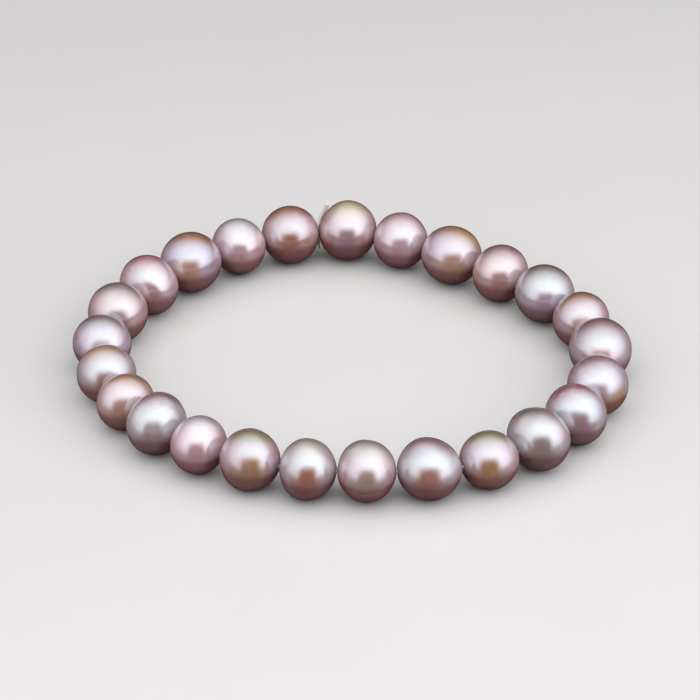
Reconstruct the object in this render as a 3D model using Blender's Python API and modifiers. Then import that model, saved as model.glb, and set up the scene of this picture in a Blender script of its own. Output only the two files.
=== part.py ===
"""A pearl bracelet lying in a loop: 25 drilled pearls on one knotted elastic thread."""

import math

import bmesh
import bpy
from mathutils import Vector

MM = 0.001

# Driving sizes
PEARL_WIDTH = 7.65 * MM
BORE_WIDTH = 0.9 * MM
MOUTH_WIDTH = 1.05 * MM
MOUTH_DEPTH = 0.1 * MM
THREAD_WIDTH = 0.5 * MM
PEARL_GAP = 0.06 * MM
KNOT_WIDTH = 0.75 * MM
KNOT_LENGTH = 1.2 * MM

# Width of the stretched thread inside the pearls, as a share of its own
STRETCHED = 0.8

# Facets
PEARL_SIDES = 16
PEARL_RINGS = 10
THREAD_RINGS = 2

# Pearls clockwise from the back one beside the knot: width across the string as a share
# of the mean one, length along the string as a share of the pearl's own width, and tone
PEARLS = (
    ("pearl_01", 1.065, 0.96, "cream"),
    ("pearl_02", 0.985, 0.97, "rose"),
    ("pearl_03", 1.020, 1.04, "gold"),
    ("pearl_04", 0.995, 0.94, "peach"),
    ("pearl_05", 1.000, 1.02, "silver"),
    ("pearl_06", 0.960, 0.97, "peach"),
    ("pearl_07", 1.035, 1.07, "mauve"),
    ("pearl_08", 0.995, 1.00, "rose"),
    ("pearl_09", 1.015, 0.91, "mauve"),
    ("pearl_10", 1.045, 0.91, "silver"),
    ("pearl_11", 0.935, 1.00, "peach"),
    ("pearl_12", 0.995, 1.02, "rose"),
    ("pearl_13", 0.985, 0.93, "cream"),
    ("pearl_14", 0.980, 0.91, "lilac"),
    ("pearl_15", 0.980, 0.98, "gold"),
    ("pearl_16", 0.955, 0.90, "lilac"),
    ("pearl_17", 1.015, 0.88, "silver"),
    ("pearl_18", 0.955, 0.86, "peach"),
    ("pearl_19", 0.975, 0.97, "silver"),
    ("pearl_20", 0.975, 0.96, "lilac"),
    ("pearl_21", 1.015, 0.98, "silver"),
    ("pearl_22", 1.050, 0.89, "rose"),
    ("pearl_23", 1.060, 1.00, "peach"),
    ("pearl_24", 0.995, 0.93, "lilac"),
    ("pearl_25", 1.020, 0.98, "copper"),
)

# Tone: base colour and roughness
TONES = {
    "cream": ((0.72, 0.63, 0.52), 0.24),
    "rose": ((0.70, 0.50, 0.49), 0.22),
    "gold": ((0.66, 0.50, 0.34), 0.24),
    "peach": ((0.70, 0.51, 0.40), 0.22),
    "mauve": ((0.55, 0.37, 0.39), 0.22),
    "silver": ((0.68, 0.62, 0.64), 0.20),
    "lilac": ((0.64, 0.54, 0.58), 0.22),
    "copper": ((0.56, 0.36, 0.30), 0.22),
}
THREAD_COLOUR = (0.78, 0.70, 0.64)
THREAD_ROUGHNESS = 0.45

# Route of the string in plan: distance from the middle as a share of the mean one,
# at even bearings counter-clockwise from +X
REACH = (1.06, 0.89, 0.82, 0.92, 0.93, 0.99, 1.09, 1.075, 1.025, 1.01, 1.075, 1.11)
KNOT_BEARING = math.radians(100)

# Cut thread ends, each as points from the knot in pearl widths: along the string towards
# the first pearl, outwards, and up, then the width there as a share of the thread's
LONG_END = (
    (0.00, 0.00, 0.00, 0.50),
    (0.00, 0.09, 0.00, 0.50),
    (0.01, 0.17, 0.00, 0.80),
    (0.03, 0.24, 0.01, 0.90),
    (0.06, 0.28, 0.04, 0.90),
    (0.10, 0.31, 0.09, 0.90),
    (0.14, 0.33, 0.15, 0.90),
    (0.19, 0.33, 0.23, 0.95),
    (0.24, 0.31, 0.32, 0.95),
)
SHORT_END = (
    (0.00, 0.00, 0.00, 0.30),
    (0.00, 0.00, -0.08, 0.30),
    (0.00, -0.01, -0.15, 0.50),
    (0.01, -0.05, -0.25, 0.65),
    (0.01, -0.10, -0.34, 0.70),
)

# The knot's swelling to each side: place as a share of its half length, then width as a
# share of its full one
KNOT_SWELL = ((1.0, 0.55), (0.75, 0.70), (0.35, 1.00))

# Working limits of the loop's solver, the merging and the smooth shading
SOLVER_STEPS = 44
LOOP_SLACK = 0.2
WIDEST_STEP = math.radians(45)
MERGE = THREAD_WIDTH / 100
SHARP_ANGLE = math.radians(50)


def clear_scene():
    for obj in list(bpy.data.objects):
        bpy.data.objects.remove(obj, do_unlink=True)


def make_collection(name):
    collection = bpy.data.collections.new(name)
    bpy.context.scene.collection.children.link(collection)
    return collection


def make_material(name, colour, roughness):
    material = bpy.data.materials.new(name)
    material.use_nodes = True
    shader = material.node_tree.nodes["Principled BSDF"]
    shader.inputs["Base Color"].default_value = (*colour, 1.0)
    shader.inputs["Roughness"].default_value = roughness
    shader.inputs["Metallic"].default_value = 0.0
    return material


def reach_at(bearing):
    """The route's share of its mean distance at a bearing, on a smooth closed curve."""
    place = bearing / math.tau * len(REACH)
    first = math.floor(place)
    u = place - first
    a, b, c, d = (REACH[(first + k) % len(REACH)] for k in (-1, 0, 1, 2))
    bend = 2 * a - 5 * b + 4 * c - d + u * (3 * (b - c) + d - a)
    return b + 0.5 * u * (c - a + u * bend)


def route_point(bearing, mean_reach):
    reach = mean_reach * reach_at(bearing)
    return Vector((reach * math.cos(bearing), reach * math.sin(bearing), 0.0))


def walk(mean_reach, spans):
    """Joints between the pearls, stepping clockwise by each pearl's own span."""
    bearing = KNOT_BEARING
    joints = [route_point(bearing, mean_reach)]
    for span in spans:
        near = bearing
        far = bearing - WIDEST_STEP
        for _ in range(SOLVER_STEPS):
            middle = (near + far) / 2
            if (route_point(middle, mean_reach) - joints[-1]).length > span:
                far = middle
            else:
                near = middle
        bearing = near
        joints.append(route_point(bearing, mean_reach))
    return joints, bearing


def close_loop(spans):
    """The joints of the one loop on which the pearls end exactly where they began."""
    round_reach = sum(spans) / math.tau
    small = round_reach * (1 - LOOP_SLACK)
    large = round_reach * (1 + LOOP_SLACK)
    for _ in range(SOLVER_STEPS):
        middle = (small + large) / 2
        if walk(middle, spans)[1] < KNOT_BEARING - math.tau:
            small = middle
        else:
            large = middle
    return walk(large, spans)[0][:-1]


def pearl_profile(width, length):
    """Half of a drilled pearl's section, from the top mouth down its outer side."""
    radius = width / 2
    half = length / 2
    mouth = MOUTH_WIDTH / 2
    bore = BORE_WIDTH / 2
    rim = math.asin(mouth / radius)
    points = []
    for k in range(PEARL_RINGS + 1):
        angle = rim + (math.pi - 2 * rim) * k / PEARL_RINGS
        points.append((radius * math.sin(angle), half * math.cos(angle)))
    end = points[-1][1] + MOUTH_DEPTH
    points.append((bore, end))
    points.append((bore, -end))
    return points


def make_pearl(name, width, length, collection, material):
    mesh = bpy.data.meshes.new(name)
    profile = pearl_profile(width, length)
    edges = [(k, (k + 1) % len(profile)) for k in range(len(profile))]
    mesh.from_pydata([(x, 0.0, z) for x, z in profile], edges, [])
    obj = bpy.data.objects.new(name, mesh)
    collection.objects.link(obj)
    screw = obj.modifiers.new("turn", "SCREW")
    screw.axis = "Z"
    screw.steps = PEARL_SIDES
    screw.render_steps = PEARL_SIDES
    screw.use_merge_vertices = True
    screw.merge_threshold = MERGE
    screw.use_smooth_shade = True
    apply_modifiers(obj)
    obj.data.set_sharp_from_angle(angle=SHARP_ANGLE)
    obj.data.materials.append(material)
    return obj


def apply_modifiers(obj):
    """Swaps the object's data for the mesh that its modifiers or its curve make."""
    bpy.context.view_layer.update()
    graph = bpy.context.evaluated_depsgraph_get()
    mesh = bpy.data.meshes.new_from_object(obj.evaluated_get(graph))
    obj.modifiers.clear()
    obj.data = mesh


def make_strand(name, route, collection, cyclic=False):
    """A round strand along points that each carry their own width share, as a mesh."""
    curve = bpy.data.curves.new(name, "CURVE")
    curve.dimensions = "3D"
    curve.bevel_depth = THREAD_WIDTH / 2
    curve.bevel_resolution = THREAD_RINGS
    curve.use_fill_caps = not cyclic
    spline = curve.splines.new("POLY")
    spline.points.add(len(route) - 1)
    spline.use_cyclic_u = cyclic
    for point, (place, share) in zip(spline.points, route):
        point.co = (*place, 1.0)
        point.radius = share
    guide = bpy.data.objects.new(name + "_guide", curve)
    collection.objects.link(guide)
    bpy.context.view_layer.update()
    graph = bpy.context.evaluated_depsgraph_get()
    mesh = bpy.data.meshes.new_from_object(guide.evaluated_get(graph))
    bpy.data.objects.remove(guide, do_unlink=True)
    shape = bmesh.new()
    shape.from_mesh(mesh)
    bmesh.ops.remove_doubles(shape, verts=shape.verts, dist=MERGE)
    bmesh.ops.recalc_face_normals(shape, faces=shape.faces)
    shape.to_mesh(mesh)
    shape.free()
    mesh.name = name
    obj = bpy.data.objects.new(name, mesh)
    collection.objects.link(obj)
    return obj


def thread_route(joints):
    """The closed thread through every joint, swelling into the knot at the first."""
    knot = joints[0]
    before = (joints[-1] - knot).normalized()
    after = (joints[1] - knot).normalized()
    half = KNOT_LENGTH / 2
    fat = KNOT_WIDTH / THREAD_WIDTH
    route = [(knot, fat)]
    route += [(knot + after * half * x, fat * w) for x, w in reversed(KNOT_SWELL)]
    route += [(joint, STRETCHED) for joint in joints[1:]]
    route += [(knot + before * half * x, fat * w) for x, w in KNOT_SWELL]
    return route


def end_route(joints, points):
    """A cut end's points, turned from the knot's own directions into the scene's."""
    knot = joints[0]
    along = (joints[1] - joints[-1]).normalized()
    out = Vector((-along.y, along.x, 0.0)).normalized()
    if out.dot(knot) < 0:
        out.negate()
    up = Vector((0.0, 0.0, 1.0))
    return [
        (knot + (along * s + out * n + up * z) * PEARL_WIDTH, share)
        for s, n, z, share in points
    ]


def unite(obj, others):
    for other in others:
        union = obj.modifiers.new("join", "BOOLEAN")
        union.operation = "UNION"
        union.solver = "EXACT"
        union.object = other
    apply_modifiers(obj)
    for other in others:
        bpy.data.objects.remove(other, do_unlink=True)


def plan_box(centre, bearing, width, length):
    """A pearl's west, east, south and north limits in plan."""
    x = math.hypot(length / 2 * math.cos(bearing), width / 2 * math.sin(bearing))
    y = math.hypot(length / 2 * math.sin(bearing), width / 2 * math.cos(bearing))
    return centre.x - x, centre.x + x, centre.y - y, centre.y + y


def build():
    clear_scene()
    collection = make_collection("pearl_bracelet")
    tones = {
        tone: make_material("pearl_" + tone, colour, roughness)
        for tone, (colour, roughness) in TONES.items()
    }
    count = len(PEARLS)
    widths = [PEARL_WIDTH * share for _, share, _, _ in PEARLS]
    lengths = [width * pearl[2] for width, pearl in zip(widths, PEARLS)]
    half_turn = math.pi / count
    spans = [(length + PEARL_GAP) / math.cos(half_turn) for length in lengths]
    joints = close_loop(spans)
    centres = [(joints[k] + joints[(k + 1) % count]) / 2 for k in range(count)]
    sides = [joints[(k + 1) % count] - joints[k] for k in range(count)]
    bearings = [math.atan2(side.y, side.x) for side in sides]
    boxes = [plan_box(*pearl) for pearl in zip(centres, bearings, widths, lengths)]
    wests, easts, souths, norths = zip(*boxes)
    middle = Vector((min(wests) + max(easts), min(souths) + max(norths), 0.0)) / 2
    for k, (name, _, _, tone) in enumerate(PEARLS):
        pearl = make_pearl(name, widths[k], lengths[k], collection, tones[tone])
        pearl.location = centres[k] - middle
        pearl.location.z = widths[k] / 2
        pearl.rotation_euler = (0.0, math.pi / 2, bearings[k])
    for k, joint in enumerate(joints):
        joint -= middle
        joint.z = (widths[k - 1] + widths[k]) / 4
    thread = make_strand("thread", thread_route(joints), collection, cyclic=True)
    ends = [
        make_strand("long_end", end_route(joints, LONG_END), collection),
        make_strand("short_end", end_route(joints, SHORT_END), collection),
    ]
    unite(thread, ends)
    thread.data.shade_smooth()
    thread.data.set_sharp_from_angle(angle=SHARP_ANGLE)
    thread.data.materials.clear()
    thread.data.materials.append(
        make_material("elastic_thread", THREAD_COLOUR, THREAD_ROUGHNESS)
    )


build()
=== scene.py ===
"""A pearl bracelet laid in a loop: drilled nacre pearls on a knotted elastic thread."""

import math

import bpy
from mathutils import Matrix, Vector


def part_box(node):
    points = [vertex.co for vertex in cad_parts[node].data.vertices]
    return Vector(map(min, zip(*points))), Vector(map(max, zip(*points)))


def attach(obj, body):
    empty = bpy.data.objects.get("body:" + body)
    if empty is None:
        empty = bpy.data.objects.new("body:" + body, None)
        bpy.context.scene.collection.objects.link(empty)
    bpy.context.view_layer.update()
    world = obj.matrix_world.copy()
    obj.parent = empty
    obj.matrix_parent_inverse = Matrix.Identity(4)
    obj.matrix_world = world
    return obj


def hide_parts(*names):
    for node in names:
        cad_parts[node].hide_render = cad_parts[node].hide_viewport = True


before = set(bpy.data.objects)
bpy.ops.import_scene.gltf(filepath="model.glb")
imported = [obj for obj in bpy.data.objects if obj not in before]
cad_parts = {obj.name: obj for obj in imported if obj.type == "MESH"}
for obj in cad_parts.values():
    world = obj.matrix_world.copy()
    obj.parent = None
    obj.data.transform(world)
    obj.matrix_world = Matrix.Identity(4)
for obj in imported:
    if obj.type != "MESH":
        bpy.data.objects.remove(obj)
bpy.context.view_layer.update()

bl_info = {
    "name": "Pearl bracelet",
    "version": (1, 0, 0),
    "blender": (4, 5, 0),
    "location": "View3D > Sidebar > Bracelet",
    "description": "Nacre pearls, their elastic thread and a small light tent",
    "category": "Object",
}

MM = 0.001

# The string, as the frame holds it
PEARL_COUNT = 25
MEAN_WIDTH = 7.65 * MM
JOINT_GAP = 0.03 * MM
PEARL_NAMES = [f"pearl_{k:02d}" for k in range(1, PEARL_COUNT + 1)]

WHITE = (1.0, 1.0, 1.0)

# Colours of the nacre
NACRE = {
    "white": (0.60, 0.50, 0.52),
    "silver": (0.44, 0.33, 0.35),
    "lilac": (0.44, 0.29, 0.36),
    "orchid": (0.48, 0.29, 0.31),
    "blush": (0.50, 0.30, 0.29),
    "cream": (0.50, 0.40, 0.33),
    "straw": (0.54, 0.44, 0.28),
    "khaki": (0.34, 0.25, 0.14),
    "gold": (0.44, 0.24, 0.11),
    "peach": (0.50, 0.27, 0.19),
    "rose": (0.46, 0.20, 0.20),
    "pink": (0.54, 0.31, 0.34),
    "amber": (0.40, 0.19, 0.085),
    "fawn": (0.36, 0.25, 0.18),
    "raspberry": (0.34, 0.10, 0.14),
    "mauve": (0.36, 0.19, 0.21),
    "taupe": (0.30, 0.21, 0.20),
    "copper": (0.38, 0.17, 0.10),
    "terracotta": (0.38, 0.14, 0.09),
}

# Tints of the sheen
OVERTONES = {
    "pale": (0.73, 0.95, 1.0),
    "aqua": (0.69, 0.96, 1.0),
    "blue": (0.66, 0.89, 1.0),
    "violet": (0.73, 0.91, 1.0),
    "rosy": (0.78, 0.93, 0.99),
}

# Each pearl's nacre: its crown, body and foot, the way to its crown, the blush that drifts
# over it, and its overtone. The foot is partly the pearl's own deeper tone, painted as shade
# in front
NACRE_OF = {
    "pearl_01": ("straw", "blush", "mauve", (0.1, 0.5, 0.9), "lilac", "rosy"),
    "pearl_02": ("pink", "pink", "pink", (0.1, 0.4, 0.9), "white", "aqua"),
    "pearl_03": ("gold", "orchid", "peach", (0.5, 0.4, 0.8), "blush", "blue"),
    "pearl_04": ("mauve", "blush", "rose", (-0.1, 0.4, 0.9), "peach", "rosy"),
    "pearl_05": ("taupe", "silver", "lilac", (0.0, 0.5, 0.9), "blush", "aqua"),
    "pearl_06": ("copper", "orchid", "peach", (-0.3, 0.5, 0.8), "peach", "blue"),
    "pearl_07": ("mauve", "silver", "rose", (0.0, 0.4, 0.9), "lilac", "pale"),
    "pearl_08": ("mauve", "lilac", "gold", (-0.4, 0.4, 0.8), "white", "pale"),
    "pearl_09": ("raspberry", "silver", "mauve", (-0.2, 0.5, 0.9), "white", "aqua"),
    "pearl_10": ("taupe", "silver", "taupe", (-0.2, 0.5, 0.9), "rose", "pale"),
    "pearl_11": ("khaki", "orchid", "amber", (0.0, 0.5, 0.9), "peach", "blue"),
    "pearl_12": ("mauve", "silver", "terracotta", (0.0, 0.5, 0.9), "lilac", "aqua"),
    "pearl_13": ("cream", "blush", "fawn", (0.0, 0.4, 0.9), "lilac", "violet"),
    "pearl_14": ("cream", "silver", "terracotta", (-0.1, 0.4, 0.9), "lilac", "pale"),
    "pearl_15": ("khaki", "orchid", "amber", (0.1, 0.5, 0.9), "blush", "blue"),
    "pearl_16": ("white", "pink", "pink", (0.0, 0.4, 0.9), "lilac", "rosy"),
    "pearl_17": ("mauve", "silver", "mauve", (0.1, 0.4, 0.9), "white", "aqua"),
    "pearl_18": ("amber", "blush", "peach", (0.3, 0.5, 0.8), "peach", "violet"),
    "pearl_19": ("peach", "silver", "copper", (-0.2, 0.5, 0.9), "blush", "pale"),
    "pearl_20": ("taupe", "lilac", "silver", (0.0, 0.5, 0.9), "white", "violet"),
    "pearl_21": ("taupe", "blush", "mauve", (0.1, 0.5, 0.9), "silver", "rosy"),
    "pearl_22": ("rose", "pink", "rose", (0.1, 0.4, 0.9), "white", "aqua"),
    "pearl_23": ("copper", "lilac", "peach", (0.1, 0.5, 0.9), "peach", "blue"),
    "pearl_24": ("white", "pink", "pink", (0.0, 0.4, 0.9), "white", "pale"),
    "pearl_25": ("copper", "blush", "terracotta", (-0.1, 0.5, 0.9), "peach", "blue"),
}

# Where the foot's tone gathers: in front, as painted shade where the pearls mirror the
# tent's dark opening, but for the pearl that shows it elsewhere, where it is a gold spot of
# its own
PAINTED_FOOT_SHADE_WAY = (0.0, -1.0, 0.05)
FOOT_TOWARDS = {"pearl_08": (0.5, -0.85, -0.2)}

# Where a pearl's painted shades set in and where they are whole, in radii from its centre:
# painted shade towards the underside by height, and a painted shade band on the crown by
# height and off its lit side
PAINTED_UNDER_SHADE = (0.12, -0.18)
SHADE_BAND_LIT_SIDE = (0.0, -0.84, 0.54)
SHADE_BAND_HEIGHT = (0.4, 0.9)
SHADE_BAND_FRONT = (0.6, 0.25)
SHADE_BAND_BACK = (-0.6, -0.1)

# Where the chalky layer of the bore takes over, in radii from the drill's line
BORE_EDGE = (0.13, 0.11)

# A pearl's mesh: the weld of its seam, rings down its hole, and the angle of a mouth
SEAM_WELD = 0.0005 * MM
HOLE_RINGS = 8
MOUTH_ANGLE = math.radians(35)

# Depth that the finest relief of the nacre stands for
TERRACE_DEPTH = 0.02 * MM

# Where the noise turns into patches of blush and into dulled places
BLUSH_PATCHES = (0.5, 0.68)
DULL_PLACES = (0.5, 0.75)

# The first pearl's seed, the step to the next, and what blush and clouds add to it
FIRST_SEED = 11.0
SEED_STEP = 3.7
BLUSH_SEED = 7.0
CLOUD_SEED = 3.0

# Swellings and hollows that show in a pearl's outline, up to two to a pearl: towards,
# height in mm, and spread in degrees
SWELLINGS = {
    "pearl_01": [((-0.75, 0.3, 0.5), -0.16, 55)],
    "pearl_02": [((0.8, 0.3, 0.4), -0.12, 45)],
    "pearl_03": [((0.1, -0.75, -0.65), -0.06, 85)],
    "pearl_07": [((-0.6, -0.6, -0.3), -0.08, 50)],
    "pearl_10": [((-0.7, 0.3, 0.5), 0.14, 50), ((0.2, 0.5, 0.85), -0.20, 65)],
    "pearl_12": [((-0.25, 0.45, 0.9), 0.08, 50), ((0.6, 0.4, 0.65), -0.18, 60)],
    "pearl_13": [((0.0, -0.75, -0.65), -0.10, 85), ((-0.5, 0.45, 0.7), 0.12, 40)],
    "pearl_14": [((0.55, 0.4, 0.65), -0.16, 58), ((-0.45, -0.5, -0.65), 0.12, 42)],
    "pearl_15": [((0.75, 0.3, 0.5), -0.14, 52), ((-0.45, -0.5, -0.7), 0.12, 42)],
    "pearl_16": [((0.0, -0.75, -0.65), -0.10, 85)],
    "pearl_17": [((0.3, 0.5, 0.8), 0.13, 42)],
    "pearl_22": [((0.6, -0.2, 0.6), -0.14, 50)],
    "pearl_23": [((0.2, -0.75, -0.65), -0.08, 85)],
    "pearl_24": [((0.3, -0.7, -0.65), -0.10, 85)],
}

# A healed growth line on the pearl that shows one: across, its place along that as a
# share of the radius, its depth in mm, and the side it lies on. Its mesh is finer
CREASES = {
    "pearl_13": ((0.05, -0.92, 1.0), 0.51, 0.075, (0.0, -1.0, -0.3)),
}
CREASED_MESH = {"Rings": 170, "Sides": 224}

# Width of the stretched thread inside the pearls, as a share of its own, how far it runs
# straight from a joint, the guide's points in one turn of the knot, and the angle past
# which a cut end's edge is crisp
STRETCHED = 0.8
STRAIGHT_RUN = 0.45 * MM
TURN_POINTS = 10
CAP_ANGLE = math.radians(60)

# The thread's fibres: how fine, how deep, where their tone turns, and how rough
FIBRES_PER_METRE = 500.0
FIBRES_AROUND = 26.0
FIBRE_DEPTH = 0.03 * MM
FIBRE_EDGES = (0.35, 0.7)
FIBRE_ROUGHNESS = (0.3, 0.5)
FIBRE_SEED = 2.0

# The cut ends of the thread, as points from the knot in mean pearl widths: along the
# string, outwards and up, and then the width there as a share of the thread's
LONG_END = (
    (0.00, 0.00, 0.00, 0.50),
    (0.00, 0.09, 0.00, 0.50),
    (0.01, 0.17, 0.00, 0.80),
    (0.03, 0.24, 0.01, 0.90),
    (0.06, 0.28, 0.04, 0.90),
    (0.09, 0.31, 0.09, 0.90),
    (0.13, 0.33, 0.15, 1.00),
    (0.17, 0.33, 0.23, 1.10),
    (0.21, 0.32, 0.32, 1.15),
)
SHORT_END = (
    (0.00, 0.00, 0.00, 0.30),
    (0.00, 0.00, -0.08, 0.30),
    (0.00, -0.01, -0.15, 0.50),
    (0.01, -0.05, -0.25, 0.65),
    (0.01, -0.10, -0.34, 0.70),
)

# The light tent over the bracelet: its inner sizes, how far behind the middle its back
# hangs, how far its darkest glow blends into the rest, and the gain of each cloth
TENT_WIDTH = 0.88
TENT_DEPTH = 1.75
TENT_HEIGHT = 0.4
TENT_BACK = 0.65
TENT_MIDDLE = TENT_BACK - TENT_DEPTH / 2
ROOF_SIZE = (TENT_WIDTH, TENT_DEPTH)
BACK_SIZE = (TENT_WIDTH, TENT_HEIGHT)
SIDE_SIZE = (TENT_HEIGHT, TENT_DEPTH)
TENT_BLEND = 0.2
ROOF_GAIN = 1.05
BACK_GAIN = 1.0
LEFT_GAIN = 1.1
RIGHT_GAIN = 1.22

# The tent's dark opening for the camera: its edge, from dark to bright, as a distance
# from straight ahead, and how square its rounded top is
OPENING = (0.39, 0.77)
SQUARENESS = 3.0

# The floor: half its width, and its faint grain
FLOOR_REACH = 3.0
GRAIN_SCALE = 60.0
GRAIN_SEED = 1.0
GRAIN_SHADE = 0.015


# Building node trees


def feed(tree, socket, value):
    """Joins a socket to another one, or sets its plain value."""
    if isinstance(value, bpy.types.NodeSocket):
        tree.links.new(value, socket)
    else:
        socket.default_value = value


def feed_all(tree, node, wires):
    """Feeds a node's inputs by name or number."""
    for key, value in wires.items():
        feed(tree, node.inputs[key], value)


def put(tree, kind, wires=None, **settings):
    """A new node with its settings and its inputs fed by name or number."""
    node = tree.nodes.new(kind)
    for key, value in settings.items():
        setattr(node, key, value)
    feed_all(tree, node, wires or {})
    return node


def calc(tree, operation, *values):
    """The result of one Math node."""
    wires = dict(enumerate(values))
    return put(tree, "ShaderNodeMath", wires, operation=operation).outputs[0]


def half(tree, value):
    """Half of a value."""
    return calc(tree, "MULTIPLY", value, 0.5)


def vec(tree, operation, *values):
    """The result of one Vector Math node."""
    wires = dict(enumerate(values))
    node = put(tree, "ShaderNodeVectorMath", wires, operation=operation)
    plain = operation in ("DOT_PRODUCT", "LENGTH")
    return node.outputs["Value" if plain else "Vector"]


def scaled(tree, vector, factor):
    """A vector or a colour times a factor."""
    wires = {"Vector": vector, "Scale": factor}
    node = put(tree, "ShaderNodeVectorMath", wires, operation="SCALE")
    return node.outputs["Vector"]


def ease(tree, value, low, high):
    """0 below low and 1 above high, smooth between."""
    wires = {"Value": value, "From Min": low, "From Max": high}
    node = put(tree, "ShaderNodeMapRange", wires, interpolation_type="SMOOTHSTEP")
    return node.outputs["Result"]


def edge(tree, value, middle, softness):
    """0 to 1 across an edge, with its softness on both sides of its middle."""
    low = calc(tree, "SUBTRACT", middle, softness)
    return ease(tree, value, low, calc(tree, "ADD", middle, softness))


def between(tree, factor, low, high):
    """Low to high as a factor goes from 0 to 1."""
    wires = {"Value": factor, "To Min": low, "To Max": high}
    return put(tree, "ShaderNodeMapRange", wires).outputs["Result"]


def colour4(rgb):
    """A colour with its alpha."""
    return (*rgb, 1.0)


def tint(tree, factor, first, second):
    """The first colour turning into the second as a factor goes from 0 to 1."""
    wires = {0: factor, 6: first, 7: second}
    return put(tree, "ShaderNodeMix", wires, data_type="RGBA").outputs[2]


def noise(tree, place, scale, seed, detail):
    """A seeded noise about 0.5, and its colour."""
    wires = {"Vector": place, "W": seed, "Scale": scale, "Detail": detail}
    node = put(tree, "ShaderNodeTexNoise", wires, noise_dimensions="4D")
    return node.outputs["Fac"], node.outputs["Color"]


def open_tree(name, kind, inputs, outputs):
    """A new node group: the tree, its input sockets by name, and its output node."""
    tree = bpy.data.node_groups.new(name, kind)
    for way, rows in (("INPUT", inputs), ("OUTPUT", outputs)):
        for label, socket_type, *default in rows:
            socket = tree.interface.new_socket(
                label, in_out=way, socket_type="NodeSocket" + socket_type
            )
            if default:
                socket.default_value = default[0]
    entry = tree.nodes.new("NodeGroupInput")
    return tree, entry.outputs, tree.nodes.new("NodeGroupOutput")


def place_group(tree, group, wires):
    """A shader group placed in a material."""
    node = tree.nodes.new("ShaderNodeGroup")
    node.node_tree = group
    feed_all(tree, node, wires)
    return node


def close_tree(tree, exit_node, mesh, material):
    """Ends a geometry tree with real geometry that wears its material."""
    real = put(tree, "GeometryNodeRealizeInstances", {"Geometry": mesh})
    wires = {"Geometry": real.outputs["Geometry"], "Material": material}
    dressed = put(tree, "GeometryNodeSetMaterial", wires)
    feed(tree, exit_node.inputs["Geometry"], dressed.outputs["Geometry"])


def crisp_edges(tree, mesh, angle):
    """Sharp shading where faces meet at more than an angle."""
    bend = put(tree, "GeometryNodeInputMeshEdgeAngle").outputs["Unsigned Angle"]
    wires = {
        "Geometry": mesh,
        "Selection": calc(tree, "GREATER_THAN", bend, angle),
        "Shade Smooth": False,
    }
    return put(tree, "GeometryNodeSetShadeSmooth", wires, domain="EDGE").outputs[0]


def grow(name, data, tree, values):
    """The plain mesh object that a geometry tree makes of its guide."""
    data.materials.append(values["Material"])
    guide = bpy.data.objects.new(name + "_guide", data)
    bpy.context.scene.collection.objects.link(guide)
    modifier = guide.modifiers.new("shape", "NODES")
    modifier.node_group = tree
    for item in tree.interface.items_tree:
        if item.item_type == "SOCKET" and item.in_out == "INPUT" and item.name in values:
            modifier[item.identifier] = values[item.name]
    bpy.context.view_layer.update()
    graph = bpy.context.evaluated_depsgraph_get()
    mesh = bpy.data.meshes.new_from_object(guide.evaluated_get(graph))
    bpy.data.objects.remove(guide, do_unlink=True)
    if not mesh.polygons:
        raise RuntimeError(f"{name}: its tree made no faces")
    mesh.name = name
    obj = bpy.data.objects.new(name, mesh)
    bpy.context.scene.collection.objects.link(obj)
    return obj


# The string's route, read from the frame


def string_of_pearls():
    """Each pearl's centre, heading, width and length, and the joints between them."""
    boxes = [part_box(name) for name in PEARL_NAMES]
    centres = [(low + high) / 2 for low, high in boxes]
    widths = [high.z - low.z for low, high in boxes]
    joint = Vector((0.0, 0.0, 0.0))
    for k, centre in enumerate(centres):
        joint += centre * (-1) ** k
    joints = [joint]
    for centre in centres[:-1]:
        joints.append(2 * centre - joints[-1])
    pearls = []
    for k, (centre, width) in enumerate(zip(centres, widths)):
        side = joints[(k + 1) % PEARL_COUNT] - joints[k]
        heading = math.atan2(side.y, side.x)
        span = math.hypot(side.x, side.y)
        length = span * math.cos(math.pi / PEARL_COUNT) - JOINT_GAP
        pearls.append((centre, heading, width, length))
    for k, joint in enumerate(joints):
        joint.z = (widths[k - 1] + widths[k]) / 4
    return pearls, joints


# Shape of a pearl


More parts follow.
